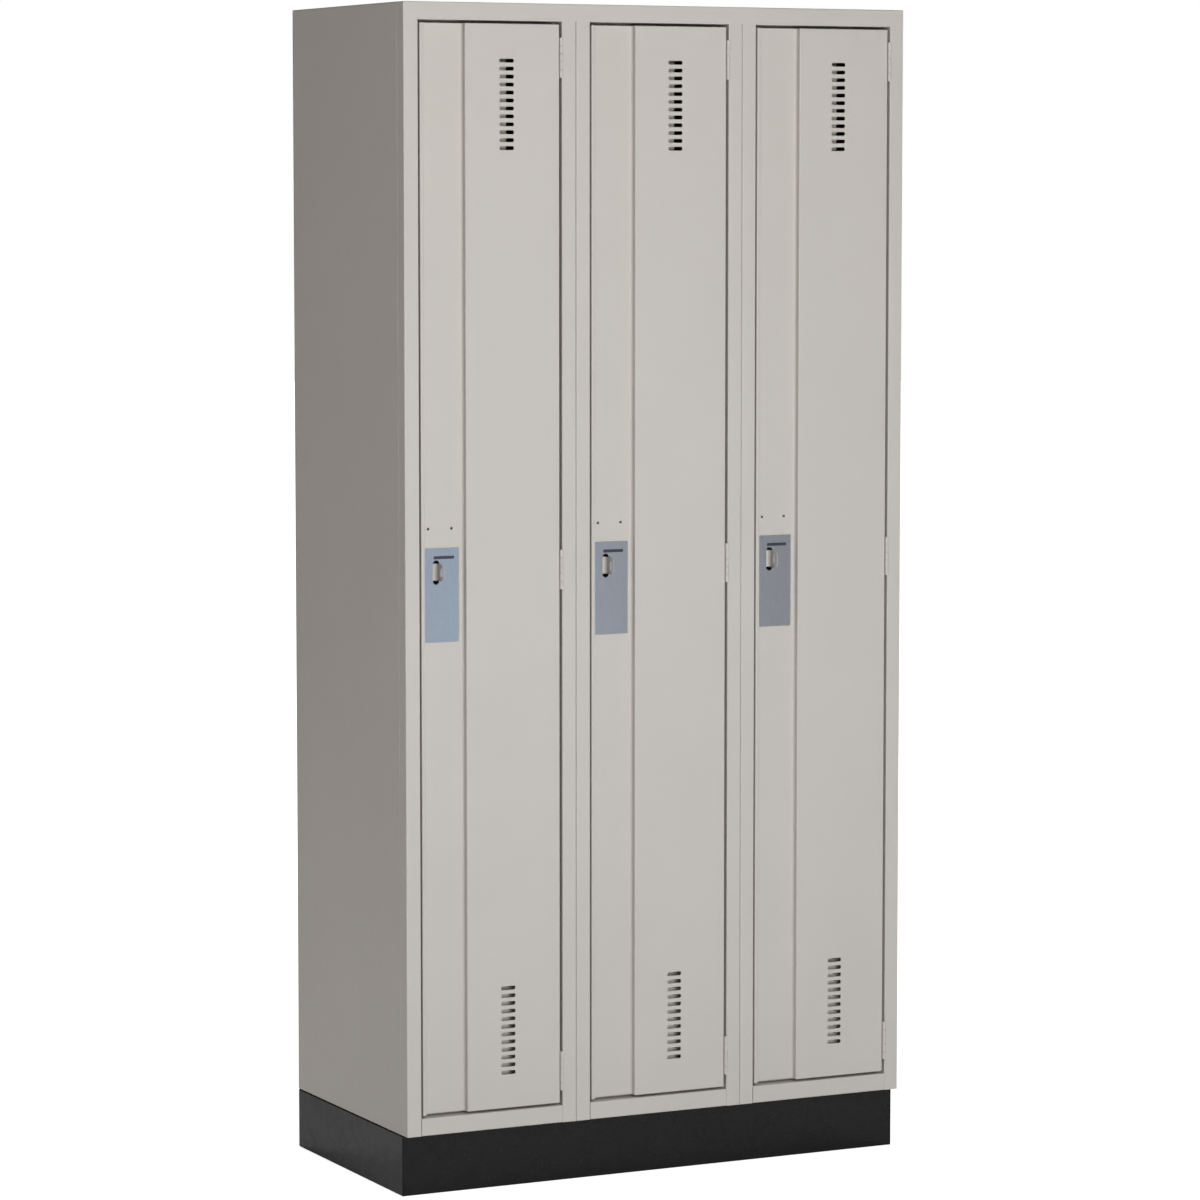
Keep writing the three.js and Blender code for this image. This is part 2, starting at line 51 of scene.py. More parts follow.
# ---- Sheet, bends and gaps ----
GAP = 0.3 * MM
BODY_SHEET = 1.0 * MM
FRAME_SHEET = 1.6 * MM
DOOR_SHEET = 1.2 * MM
BASE_SHEET = 2.0 * MM
PLATE_SHEET = 1.0 * MM
STRIKE_SHEET = 4.8 * MM
HOOK_SHEET = 3.0 * MM
WALL_HOOK_SHEET = 2.5 * MM
BODY_BEND = 1.6 * MM
WALL_FLANGE = 12 * MM  # the walls' turned front and back edges
FRAME_BEND = 2.0 * MM
TIGHT_BEND = 1.8 * MM  # the top rail's ends, and the bottom rails' lower bends
DOOR_BEND = 2.0 * MM
DOOR_END_ROUND = 1.6 * MM
BASE_BEND = 3.0 * MM
BASE_FLANGE = 30 * MM  # how far the base's rails turn in
FRAME_FACE = 25.4 * MM  # the width of an upright's face, and how far the frame turns back
STOP_DEPTH = 12 * MM  # how far the stops stand into an opening
RIVET_RISE = 1.0 * MM
CUT_EDGE = 0.2 * MM  # the small round that paint leaves on a cut edge
PAST = 1.0 * MM  # how far a cutting shape runs past what it cuts
SAME_POINT = 1e-7

# ---- The frame's main lines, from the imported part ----
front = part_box("top_rail")[0].y
body_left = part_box("back_panel")[0].x
body_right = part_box("back_panel")[1].x
body_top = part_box("top_rail")[1].z
body_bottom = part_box("back_panel")[0].z
locker_width = (body_right - body_left) / len(LOCKERS)
opening_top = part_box("upright_latch_1")[1].z + GAP
bottom_stop_rise = 8 * MM  # above the rail
opening_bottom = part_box("bottom_rail_1")[1].z - bottom_stop_rise
jamb = body_left + FRAME_FACE  # the left locker's latch jamb
frame_return = front + FRAME_FACE
stop_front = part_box("upright_latch_1")[1].y - FRAME_SHEET
door_low, door_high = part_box("door_outer_1")
hasp_height = sum(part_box("padlock_strike_1"), Vector()).z / 2


# ---- Lines and sections ----


def left_of(direction):
    return Vector((-direction.y, direction.x))


def bent_line(corners, degrees_per_step=15):
    """(point, left normal) pairs along a line of (u, v) or (u, v, bend radius) corners."""
    places = [Vector(c[:2]) for c in corners]
    line = [(places[0], left_of((places[1] - places[0]).normalized()))]
    for before, here, after, corner in zip(places, places[1:], places[2:], corners[1:]):
        arriving = (here - before).normalized()
        leaving = (after - here).normalized()
        turn = math.atan2(arriving.cross(leaving), arriving.dot(leaving))
        radius = corner[2]
        side = math.copysign(1, turn)
        start = here - arriving * radius * math.tan(abs(turn) / 2)
        centre = start + left_of(arriving) * radius * side
        steps = max(2, round(math.degrees(abs(turn)) / degrees_per_step))
        for k in range(steps + 1):
            normal = left_of(arriving)
            normal.rotate(Matrix.Rotation(turn * k / steps, 2))
            line.append((centre - normal * radius * side, normal))
    line.append((places[-1], left_of((places[-1] - places[-2]).normalized())))
    return line


def mirrored(corners, middle):
    """The same line seen in a mirror at u = middle, still with its sheet on the inside."""
    return [(2 * middle - c[0], *c[1:]) for c in reversed(corners)]


def circle(centre, radius, steps=16):
    angles = [2 * math.pi * k / steps for k in range(steps)]
    return [(centre[0] + radius * math.cos(a), centre[1] + radius * math.sin(a)) for a in angles]


def rounded_box(centre, width, height, radius, steps=6):
    """Outline of an upright rectangle with round corners."""
    outline = []
    for quarter, (su, sv) in enumerate(((1, 1), (-1, 1), (-1, -1), (1, -1))):
        u = centre[0] + su * (width / 2 - radius)
        v = centre[1] + sv * (height / 2 - radius)
        for k in range(steps + 1):
            angle = math.radians(90 * quarter + 90 * k / steps)
            outline.append((u + radius * math.cos(angle), v + radius * math.sin(angle)))
    return outline


def plan(u, v, w):
    """A section seen from above: x, y, run along z."""
    return Vector((u, v, w))


def side_on(u, v, w):
    """A section seen from the side: y, z, run along x."""
    return Vector((w, u, v))


def front_on(u, v, w):
    """An outline seen from the front: x, z, run along y."""
    return Vector((u, w, v))


# ---- Meshes ----


def mesh_from(points, faces):
    """A closed mesh with its normals outwards."""
    shape = bmesh.new()
    vertices = [shape.verts.new(p) for p in points]
    for face in faces:
        shape.faces.new([vertices[i] for i in face])
    bmesh.ops.remove_doubles(shape, verts=shape.verts, dist=SAME_POINT)
    bmesh.ops.recalc_face_normals(shape, faces=shape.faces)
    mesh = bpy.data.meshes.new("shape")
    shape.to_mesh(mesh)
    shape.free()
    return mesh


def prism(outline, place, low, high):
    """A solid of one closed outline, run from low to high."""
    count = len(outline)
    points = [place(u, v, w) for w in (low, high) for u, v in outline]
    sides = [(i, (i + 1) % count, count + (i + 1) % count, count + i) for i in range(count)]
    return mesh_from(points, [tuple(range(count)), tuple(range(count, 2 * count)), *sides])


def box_mesh(x, y, z):
    """A block between two ends on each axis."""
    outline = [(x[0], z[0]), (x[1], z[0]), (x[1], z[1]), (x[0], z[1])]
    return prism(outline, front_on, *sorted(y))


def strip(pairs, place, low, high):
    """A sheet whose section is a chain of (outer, inner) points, run from low to high."""
    count = len(pairs)
    rows = [[pair[k] for pair in pairs] for k in (0, 1)]
    points = [place(p[0], p[1], w) for w in (low, high) for row in rows for p in row]

    def at(end, face, i):
        return end * 2 * count + face * count + i

    faces = []
    for i in range(count - 1):
        faces += [(at(0, k, i), at(0, k, i + 1), at(1, k, i + 1), at(1, k, i)) for k in (0, 1)]
        faces += [(at(e, 0, i), at(e, 0, i + 1), at(e, 1, i + 1), at(e, 1, i)) for e in (0, 1)]
    for i in (0, count - 1):
        faces.append((at(0, 0, i), at(1, 0, i), at(1, 1, i), at(0, 1, i)))
    return mesh_from(points, faces)


def bent_sheet(corners, thickness, place, low, high):
    """A sheet bent along a line, with its thickness to the left of the line."""
    pairs = [(p, p + n * thickness) for p, n in bent_line(corners)]
    return strip(pairs, place, low, high)


def tray(corners, thickness, rounding, place, low, high, share=None):
    """A bent sheet whose two ends are closed too, with rounded end edges; it is open behind.
    share(u, v) is how much of the end rounding a point takes."""
    line = bent_line(corners)
    shares = [share(*p) if share else 1.0 for p, _ in line]
    angles = [math.radians(22.5 * k) for k in range(5)]

    def skin(inset, radius):
        profile = [(radius * (1 - math.sin(a)), radius * (1 - math.cos(a))) for a in angles]
        rings = [(low + inset + back, bite) for back, bite in reversed(profile)]
        rings += [(high - inset - back, bite) for back, bite in profile]
        rows = []
        for w, bite in rings:
            row = [p + n * (inset + bite * s) for (p, n), s in zip(line, shares)]
            rows.append([place(q[0], q[1], w) for q in row])
        return rows

    least_rounding = 0.3 * MM
    inner_rounding = max(rounding - thickness, least_rounding)
    rows = skin(0, rounding) + skin(thickness, inner_rounding)
    count, half = len(line), len(rows) // 2
    points = [p for row in rows for p in row]

    def at(row, i):
        return row * count + i

    faces = []
    for k in range(half - 1):
        for row in (k, half + k):
            for i in range(count - 1):
                faces.append((at(row, i), at(row, i + 1), at(row + 1, i + 1), at(row + 1, i)))
        for i in (0, count - 1):
            faces.append((at(k, i), at(k + 1, i), at(half + k + 1, i), at(half + k, i)))
    for k in (0, half - 1):
        faces += [tuple(at(row, i) for i in range(count)) for row in (k, half + k)]
        faces.append((at(k, 0), at(k, count - 1), at(half + k, count - 1), at(half + k, 0)))
    return mesh_from(points, faces)


def turned(profile, centre, axis, steps=20):
    """A solid turned from (radius, distance along the axis) points, the first and last on the axis."""
    turn = Vector((0, 0, 1)).rotation_difference(Vector(axis)).to_matrix()
    points = []
    for radius, along in profile[1:-1]:
        for k in range(steps):
            angle = 2 * math.pi * k / steps
            points.append((radius * math.cos(angle), radius * math.sin(angle), along))
    points += [(0, 0, profile[0][1]), (0, 0, profile[-1][1])]
    first, last = len(points) - 2, len(points) - 1
    rings = len(profile) - 2
    faces = []
    for start in range(0, (rings - 1) * steps, steps):
        for k in range(steps):
            after = (k + 1) % steps
            faces.append((start + k, start + after, start + steps + after, start + steps + k))
    faces += [(first, k, (k + 1) % steps) for k in range(steps)]
    start = (rings - 1) * steps
    faces += [(last, start + k, start + (k + 1) % steps) for k in range(steps)]
    return mesh_from([turn @ Vector(p) + Vector(centre) for p in points], faces)


def joined(meshes):
    """One mesh of several closed ones."""
    shape = bmesh.new()
    for mesh in meshes:
        shape.from_mesh(mesh)
    whole = bpy.data.meshes.new("shape")
    shape.to_mesh(whole)
    shape.free()
    return whole


def moved(mesh, offset):
    copy = mesh.copy()
    copy.transform(Matrix.Translation(offset))
    return copy


def worked(mesh, cuts=(), kept=(), round_by=CUT_EDGE, segments=2):
    """The mesh with the cuts taken out of it, limited to the kept shapes, and its edges rounded."""
    thing = bpy.data.objects.new("work", mesh)
    tools = []
    for operation, shapes in (("DIFFERENCE", cuts), ("INTERSECT", kept)):
        for shape in shapes:
            tool = bpy.data.objects.new("tool", shape)
            bpy.context.collection.objects.link(tool)
            tools.append(tool)
            step = thing.modifiers.new("step", "BOOLEAN")
            step.object, step.operation, step.solver = tool, operation, "EXACT"
    if round_by:
        bevel = thing.modifiers.new("bevel", "BEVEL")
        bevel.width, bevel.segments = round_by, segments
        sharp = math.radians(40)
        bevel.limit_method, bevel.angle_limit = "ANGLE", sharp
        bevel.use_clamp_overlap = False
    bpy.context.collection.objects.link(thing)
    graph = bpy.context.evaluated_depsgraph_get()
    result = bpy.data.meshes.new_from_object(thing.evaluated_get(graph))
    for item in [thing, *tools]:
        bpy.data.objects.remove(item)
    return result


def smooth(mesh, sharp_degrees=35):
    """Shades bends round and flats flat: beside a wide face, a narrow one takes the wide one's direction."""
    shape = bmesh.new()
    shape.from_mesh(mesh)
    shape.faces.ensure_lookup_table()
    width = [f.calc_area() / max(e.calc_length() for e in f.edges) for f in shape.faces]
    limit = math.cos(math.radians(sharp_degrees))
    least = 1e-15  # keeps the sum from being nothing
    normals = []
    for face in shape.faces:
        for loop in face.loops:
            total = Vector()
            for other in loop.vert.link_faces:
                if other.normal.dot(face.normal) > limit:
                    total += other.normal * (width[other.index] ** 3 + least)
            normals.append(total.normalized())
    shape.free()
    mesh.shade_smooth()
    mesh.normals_split_custom_set(normals)
    return mesh


def piece(name, mesh, material, body, nodes=()):
    """One object of the visual model, which rides on a body and may take the place of CAD nodes."""
    mesh.name = name
    mesh.materials.clear()
    mesh.materials.append(material)
    made = bpy.data.objects.new(name, smooth(mesh))
    bpy.context.collection.objects.link(made)
    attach(made, body)
    if nodes:
        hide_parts(*nodes)
    return made


def to_locker(n):
    """The way from the left locker to locker n."""
    return Vector((locker_width * (n - 1), 0, 0))


def per_locker(name, mesh, material, node=None, on_door=False):
    """The left locker's piece, and its copies at the other lockers. Where it replaces a CAD node, each
    copy goes where its own node is."""
    for n in LOCKERS:
        body = f"door_{n}" if on_door else "cabinet"
        if node:
            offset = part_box(f"{node}_{n}")[0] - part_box(f"{node}_1")[0]
            piece(f"{name}_{n}", moved(mesh, offset), material, body, [f"{node}_{n}"])
        else:
            piece(f"{name}_{n}", moved(mesh, to_locker(n)), material, body)


# ---- Materials ----


class Surface:
    """A node material, with short ways to add the patterns that painted and plated sheet have."""

    def __init__(self, name, colour, roughness, metallic=0.0):
        self.material = bpy.data.materials.new(name)
        self.material.use_nodes = True
        self.nodes = self.material.node_tree.nodes
        self.links = self.material.node_tree.links
        self.shader = self.nodes["Principled BSDF"]
        self.colour = colour
        self.shader.inputs["Base Color"].default_value = (*colour, 1)
        self.shader.inputs["Roughness"].default_value = roughness
        self.shader.inputs["Metallic"].default_value = metallic
        self.place = self.nodes.new("ShaderNodeTexCoord").outputs["Object"]

    def stretched(self, scale):
        mapping = self.nodes.new("ShaderNodeMapping")
        mapping.inputs["Scale"].default_value = scale
        self.links.new(self.place, mapping.inputs["Vector"])
        return mapping.outputs["Vector"]

    def noise(self, scale, detail=2.0, place=None):
        node = self.nodes.new("ShaderNodeTexNoise")
        node.inputs["Scale"].default_value = scale
        node.inputs["Detail"].default_value = detail
        self.links.new(place or self.place, node.inputs["Vector"])
        return node.outputs["Fac"]

    def ranged(self, value, low, high, start=0.3, end=0.7):
        node = self.nodes.new("ShaderNodeMapRange")
        self.links.new(value, node.inputs["Value"])
        for name, number in (("From Min", start), ("From Max", end), ("To Min", low), ("To Max", high)):
            node.inputs[name].default_value = number
        return node.outputs["Result"]

    def vary_colour(self, factor, other):
        mix = self.nodes.new("ShaderNodeMix")
        mix.data_type = "RGBA"
        self.links.new(factor, mix.inputs["Factor"])
        mix.inputs["A"].default_value = (*self.colour, 1)
        mix.inputs["B"].default_value = (*other, 1)
        self.links.new(mix.outputs["Result"], self.shader.inputs["Base Color"])

    def vary_roughness(self, value):
        self.links.new(value, self.shader.inputs["Roughness"])

    def bump(self, height, strength, distance):
        node = self.nodes.new("ShaderNodeBump")
        node.inputs["Strength"].default_value = strength
        node.inputs["Distance"].default_value = distance
        self.links.new(height, node.inputs["Height"])
        self.links.new(node.outputs["Normal"], self.shader.inputs["Normal"])


def linear(red, green, blue):
    """A colour given as it is seen, 0 to 255, as the light values that the shader wants."""
    return tuple(((c / 255 + 0.055) / 1.055) ** 2.4 for c in (red, green, blue))


def shade(colour, factor):
    return tuple(c * factor for c in colour)


def powder_coat():
    """Warm light grey powder coat: satin, with a fine orange peel and a little uneven in tone."""
    colour = linear(199, 194, 187)
    surface = Surface("powder_coat", colour, 0.5)
    surface.vary_colour(surface.ranged(surface.noise(5, 3), 0, 1), shade(colour, 0.975))
    surface.vary_roughness(surface.ranged(surface.noise(60, 4), 0.44, 0.54))
    surface.bump(surface.noise(900, 2), 0.12, 0.1 * MM)
    return surface.material


def black_enamel():
    """Black enamel on the base, glossier than the body, with a film of floor dust."""
    colour = linear(9, 7, 8)
    surface = Surface("black_enamel", colour, 0.35)
    surface.vary_colour(surface.ranged(surface.noise(14, 5), 0, 0.15), linear(26, 23, 22))
    surface.vary_roughness(surface.ranged(surface.noise(45, 4), 0.2, 0.32))
    surface.bump(surface.noise(600, 2), 0.1, 0.1 * MM)
    return surface.material


def brushed_stainless():
    """Satin stainless sheet with an upright brushed grain."""
    colour = linear(182, 185, 190)
    surface = Surface("brushed_stainless", colour, 0.32, 1.0)
    grain = surface.noise(1, 3, surface.stretched((5000, 5000, 60)))
    surface.vary_colour(surface.ranged(grain, 0, 1), shade(colour, 0.9))
    surface.vary_roughness(surface.ranged(grain, 0.24, 0.33))
    surface.bump(grain, 0.05, 0.05 * MM)
    return surface.material


def zinc_plate():
    """Bright zinc on the hooks, slightly clouded."""
    colour = linear(196, 198, 200)
    surface = Surface("zinc_plate", colour, 0.35, 1.0)
    cloud = surface.noise(220, 3)
    surface.vary_colour(surface.ranged(cloud, 0, 1), shade(colour, 0.85))
    surface.vary_roughness(surface.ranged(cloud, 0.28, 0.42))
    surface.bump(surface.noise(1500, 2), 0.08, 0.05 * MM)
    return surface.material


def rubber():
    colour = linear(58, 56, 55)
    surface = Surface("rubber", colour, 0.7)
    surface.vary_colour(surface.ranged(surface.noise(400, 3), 0, 1), shade(colour, 0.8))
    surface.vary_roughness(surface.ranged(surface.noise(300, 3), 0.65, 0.8))
    surface.bump(surface.noise(1200, 2), 0.2, 0.1 * MM)
    return surface.material


def dark_film():
    """The blank dark strip on the stainless plate."""
    colour = linear(46, 47, 56)
    surface = Surface("dark_film", colour, 0.4)
    surface.vary_colour(surface.ranged(surface.noise(300, 3), 0, 1), linear(62, 64, 74))
    surface.vary_roughness(surface.ranged(surface.noise(500, 3), 0.35, 0.5))
    surface.bump(surface.noise(2000, 2), 0.05, 0.05 * MM)
    return surface.material


PAINT = powder_coat()
BLACK = black_enamel()
STAINLESS = brushed_stainless()
ZINC = zinc_plate()
RUBBER = rubber()
FILM = dark_film()


# ---- Base ----


def base_corners(face, edge, low, high, direction):
    """A folded channel: its top flange, its face and its bottom flange."""
    corners = [(edge, high.z), (face, high.z, BASE_BEND), (face, low.z, BASE_BEND), (edge, low.z)]
    return corners if direction > 0 else corners[::-1]


def build_base():
    """A rail in front and one behind, and an end plate on each side; all four are open inwards."""
    rails = (("base_rail_front", "base_front", 1), ("base_rail_back", "base_back", -1))
    for name, node, direction in rails:
        low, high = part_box(node)
        face, edge = (low.y, high.y) if direction > 0 else (high.y, low.y)
        corners = base_corners(face, edge, low, high, direction)
        mesh = bent_sheet(corners, BASE_SHEET, side_on, low.x, high.x)
        piece(name, worked(mesh), BLACK, "cabinet", [node])
    plates = (("base_plate_left", "base_end_left", 1), ("base_plate_right", "base_end_right", -1))
    for name, node, direction in plates:
        low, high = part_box(node)
        face, edge = (low.x, high.x) if direction > 0 else (high.x, low.x)
        corners = base_corners(face, edge, low, high, direction)
        mesh = bent_sheet(corners, BASE_SHEET, front_on, low.y, high.y)
        flanges = [face + direction * (BASE_SHEET + GAP), edge + direction * PAST]
        reach = BASE_FLANGE + GAP  # the flanges stop short of the front and back rails' own flanges
        tall = (low.z - PAST, high.z + PAST)
        cuts = [
            box_mesh(flanges, (low.y - PAST, low.y + reach), tall),
            box_mesh(flanges, (high.y - reach, high.y + PAST), tall),
        ]
        edge_round = 0.1 * MM  # a wider one bulges below the floor
        piece(name, worked(mesh, cuts, round_by=edge_round), BLACK, "cabinet", [node])


# ---- Body sheets ----


def rivet(centre, axis, radius=3.2 * MM, rise=RIVET_RISE):
    """The domed head of a rivet or a screw, sunk a little into its sheet."""
    sunk = 0.2 * MM
    rim = 0.1 * rise
    profile = [(0, -sunk), (radius, -sunk), (radius, rim)]
    rings = 5
    for k in range(1, rings):
        angle = math.radians(90 * k / rings)
        profile.append((radius * math.cos(angle), rim + (rise - rim) * math.sin(angle)))
    profile.append((0, rise))
    return turned(profile, centre, axis, 16)


def build_walls():
    """Side walls and partitions with their front and back edges turned, and the flat back and top."""
    sheets = [("side_wall_left", "side_panel_left", 1), ("side_wall_right", "side_panel_right", -1)]
    sheets += [(f"partition_sheet_{n}", f"partition_{n}", 1) for n in LOCKERS[:-1]]
    for name, node, direction in sheets:
        low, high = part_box(node)
        face = low.x if direction > 0 else high.x
        edge = face + direction * WALL_FLANGE
        corners = [(edge, high.y), (face, high.y, BODY_BEND), (face, low.y, BODY_BEND), (edge, low.y)]
        corners = corners if direction > 0 else corners[::-1]
        mesh = bent_sheet(corners, BODY_SHEET, plan, low.z, high.z)
        piece(name, worked(mesh), PAINT, "cabinet", [node])
    for name, node in (("back_sheet", "back_panel"), ("top_sheet", "top_panel")):
        low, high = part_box(node)
        mesh = box_mesh((low.x, high.x), (low.y, high.y), (low.z, high.z))
        piece(name, worked(mesh), PAINT, "cabinet", [node])


def build_body_rivets():
    """Rivets in the back sheet, at the walls' turned edges; no head stands out past the sheet's face."""
    inset = WALL_FLANGE / 2
    walls = [body_left + inset, body_right - inset]
    walls += [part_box(f"partition_{n}")[0].x + inset for n in LOCKERS[:-1]]
    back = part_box("back_panel")[1].y
    count = 10
    end = 80 * MM  # from the body's bottom to the lowest rivet, and from its top to the highest
    pitch = (body_top - body_bottom - 2 * end) / (count - 1)
    heads = []
    for x in walls:
        for k in range(count):
            heads.append(rivet((x, back - RIVET_RISE, body_bottom + end + pitch * k), (0, 1, 0)))
    piece("rivets_back", joined(heads), PAINT, "cabinet")


# ---- Frame ----


def upright_corners():
    """The left locker's latch upright, from its outer return to its stop."""
    edge = body_left + GAP / 2
    return [
        (edge, frame_return),
        (edge, front, FRAME_BEND),
        (jamb, front, FRAME_BEND),
        (jamb, stop_front, FRAME_BEND),
        (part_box("upright_latch_1")[1].x, stop_front),
    ]


def build_uprights():
    """Each upright's top end fills the groove under the top rail's bend, as a weld ground flush does."""
    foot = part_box("upright_latch_1")[0].z
    top = opening_top + FRAME_BEND
    latch = bent_sheet(upright_corners(), FRAME_SHEET, plan, foot, top)
    per_locker("frame_upright_latch", worked(latch), PAINT, "upright_latch")
    corners = mirrored(upright_corners(), body_left + locker_width / 2)
    hinge = bent_sheet(corners, FRAME_SHEET, plan, foot, top)
    per_locker("frame_upright_hinge", worked(hinge), PAINT, "upright_hinge")


def build_top_rail():
    """The rail over the openings, with closed ends, and a stop strip over each door."""
    corners = [
        (frame_return, body_top),
        (front, body_top, FRAME_BEND),
        (front, opening_top, FRAME_BEND),
        (frame_return, opening_top),
    ]

    def share(_, height):
        """The ends' rounding dies out at the rail's lower bend, where the uprights begin."""
        return min(1.0, (height - opening_top) / FRAME_BEND)

    mesh = tray(corners, FRAME_SHEET, TIGHT_BEND, side_on, body_left, body_right, share)
    piece("frame_top_rail", worked(mesh), PAINT, "cabinet", ["top_rail"])
    lap, stop_bend = 0.2 * MM, 0.5 * MM
    stop = [
        (frame_return + lap, opening_top),
        (stop_front, opening_top, stop_bend),
        (stop_front, opening_top - STOP_DEPTH),
    ]
    inset = FRAME_FACE + STOP_DEPTH + GAP
    mesh = bent_sheet(stop, FRAME_SHEET, side_on, body_left + inset, body_left + locker_width - inset)
    per_locker("top_stop", worked(mesh), PAINT)


def build_bottom_rails():
    """The rail under each door, and the strip behind it that the door closes on."""
    low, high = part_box("bottom_rail_1")
    corners = [
        (stop_front - GAP, opening_bottom),
        (front, opening_bottom, FRAME_BEND),
        (front, body_bottom, TIGHT_BEND),
        (frame_return, body_bottom),
    ]
    mesh = bent_sheet(corners, FRAME_SHEET, side_on, low.x, high.x)
    per_locker("frame_bottom_rail", worked(mesh), PAINT, "bottom_rail")
    across = (low.x + STOP_DEPTH, high.x - STOP_DEPTH)
    lap = 10 * MM  # how far the strip runs down behind the rail's top
    stop = box_mesh(across, (stop_front, stop_front + FRAME_SHEET), (opening_bottom - lap, high.z))
    per_locker("bottom_stop", worked(stop, round_by=0.4 * MM), PAINT)


# ---- Inside each locker ----


def build_floor_and_shelf():
    """The floor is folded down at its sides; the shelf has a hemmed front edge and a lip at the back."""
    low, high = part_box("floor_pan_1")
    corners = [(high.x, low.z), (high.x, high.z, BODY_BEND), (low.x, high.z, BODY_BEND), (low.x, low.z)]
    mesh = bent_sheet(corners, BODY_SHEET, front_on, low.y, high.y)
    per_locker("locker_floor", worked(mesh), PAINT, "floor_pan")
    low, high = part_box("hat_shelf_1")
    lip, hem = 12 * MM, 7 * MM
    corners = [
        (high.y, high.z - lip),
        (high.y, high.z, BODY_BEND),
        (low.y, high.z, BODY_BEND),
        (low.y, low.z, BODY_BEND),
        (low.y + hem, low.z),
    ]
    mesh = bent_sheet(corners, BODY_SHEET, side_on, low.x, high.x)
    per_locker("shelf_sheet", worked(mesh), PAINT, "hat_shelf")


def build_shelf_hooks():
    """The two-pronged hook under each shelf, bent from one strip, and its screw."""
    low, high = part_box("coat_hook_1")
    middle = (low.x + high.x) / 2
    curl, tip, shoulder = 13 * MM, 12 * MM, 5 * MM
    tips = low.z + curl + tip
    inner = high.x - 2 * curl
    half = [(high.x, tips), (high.x, low.z, curl), (inner, low.z, curl), (inner, high.z, shoulder)]
    corners = half + mirrored(half, middle)
    mesh = bent_sheet(corners, HOOK_SHEET, front_on, low.y, high.y)
    hook = worked(mesh, round_by=1.1 * MM, segments=3)
    per_locker("shelf_hook", hook, ZINC, "coat_hook")
    screw_radius, screw_rise = 4 * MM, 1.8 * MM
    centre = (middle, (low.y + high.y) / 2, high.z - HOOK_SHEET)
    screw = rivet(centre, (0, 0, -1), screw_radius, screw_rise)
    per_locker("shelf_hook_screw", screw, ZINC)


def build_wall_hooks():
    """Single-pronged hooks on both side walls and the back of each locker."""
    curl, width = 9 * MM, 14 * MM
    half_plate = 14 * MM
    prong_drop = 6 * MM  # the prong ends this far below the plate's middle
    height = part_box("hat_shelf_1")[0].z - 110 * MM
    foot = height - half_plate - curl
    prong = 2 * curl
    corners = [(0, height + half_plate), (0, foot, curl), (prong, foot, curl), (prong, height - prong_drop)]
    screw_height, screw_radius, screw_rise = height + 4 * MM, 3.4 * MM, 1.6 * MM
    touch = 0.1 * MM
    from_wall = BODY_SHEET + touch
    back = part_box("back_panel")[0].y - touch

    def on_left(u, v, w):
        return Vector((body_left + from_wall + u, w, v))

    def on_right(u, v, w):
        return Vector((body_left + locker_width - from_wall - u, w, v))

    def on_back(u, v, w):
        return Vector((body_left + locker_width / 2 + w, back - u, v))

    walls = (("left", on_left, (1, 0, 0)), ("right", on_right, (-1, 0, 0)), ("back", on_back, (0, -1, 0)))
    for n in LOCKERS:
        for side, place, axis in walls:
            strip_mesh = bent_sheet(corners, WALL_HOOK_SHEET, place, -width / 2, width / 2)
            hook = worked(strip_mesh, round_by=1.0 * MM, segments=3)
            screw = rivet(place(WALL_HOOK_SHEET, screw_height, 0), axis, screw_radius, screw_rise)
            mesh = moved(joined([hook, screw]), to_locker(n))
            piece(f"wall_hook_{side}_{n}", mesh, ZINC, "cabinet")


def build_bumpers():
    """Rubber buttons on the latch side's stop, which the closed door meets."""
    x = jamb + STOP_DEPTH / 2
    radius, face_radius = 4.5 * MM, 3.8 * MM
    rim, rise = 0.8 * MM, 1.4 * MM
    profile = [(0, 0), (radius, 0), (radius, rim), (face_radius, rise), (0, rise)]
    buttons = []
    for share in (0.25, 0.75):
        z = door_low.z + share * (door_high.z - door_low.z)
        buttons.append(turned(profile, (x, stop_front, z), (0, -1, 0), 24))
    per_locker("door_bumpers", joined(buttons), RUBBER)


# ---- Padlock strike ----


def build_strikes():
    """A bent strip welded to the latch jamb; its tongue comes out through the door for the padlock."""
    low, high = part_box("padlock_strike_1")
    bend, tip_round = 6.4 * MM, 11 * MM
    corners = [(low.x, high.y), (high.x, high.y, bend), (high.x, low.y)]
    mesh = bent_sheet(corners, STRIKE_SHEET, plan, low.z, high.z)
    behind = 30 * MM  # the envelope runs on behind the strike, so that it rounds the tip only
    depth = high.y - low.y + behind
    outline = rounded_box((low.y + depth / 2, hasp_height), depth, high.z - low.z, tip_round, 10)
    envelope = prism(outline, side_on, low.x - PAST, high.x + PAST)
    hole_width, hole_height, hole_round = 9.5 * MM, 15 * MM, 4.7 * MM
    hole_centre = (low.y + 9.1 * MM, hasp_height)
    outline = rounded_box(hole_centre, hole_width, hole_height, hole_round, 8)
    hole = prism(outline, side_on, low.x, high.x + PAST)
    made = worked(mesh, [hole], [envelope], round_by=0.7 * MM, segments=3)
    per_locker("strike_tongue", made, PAINT, "padlock_strike")


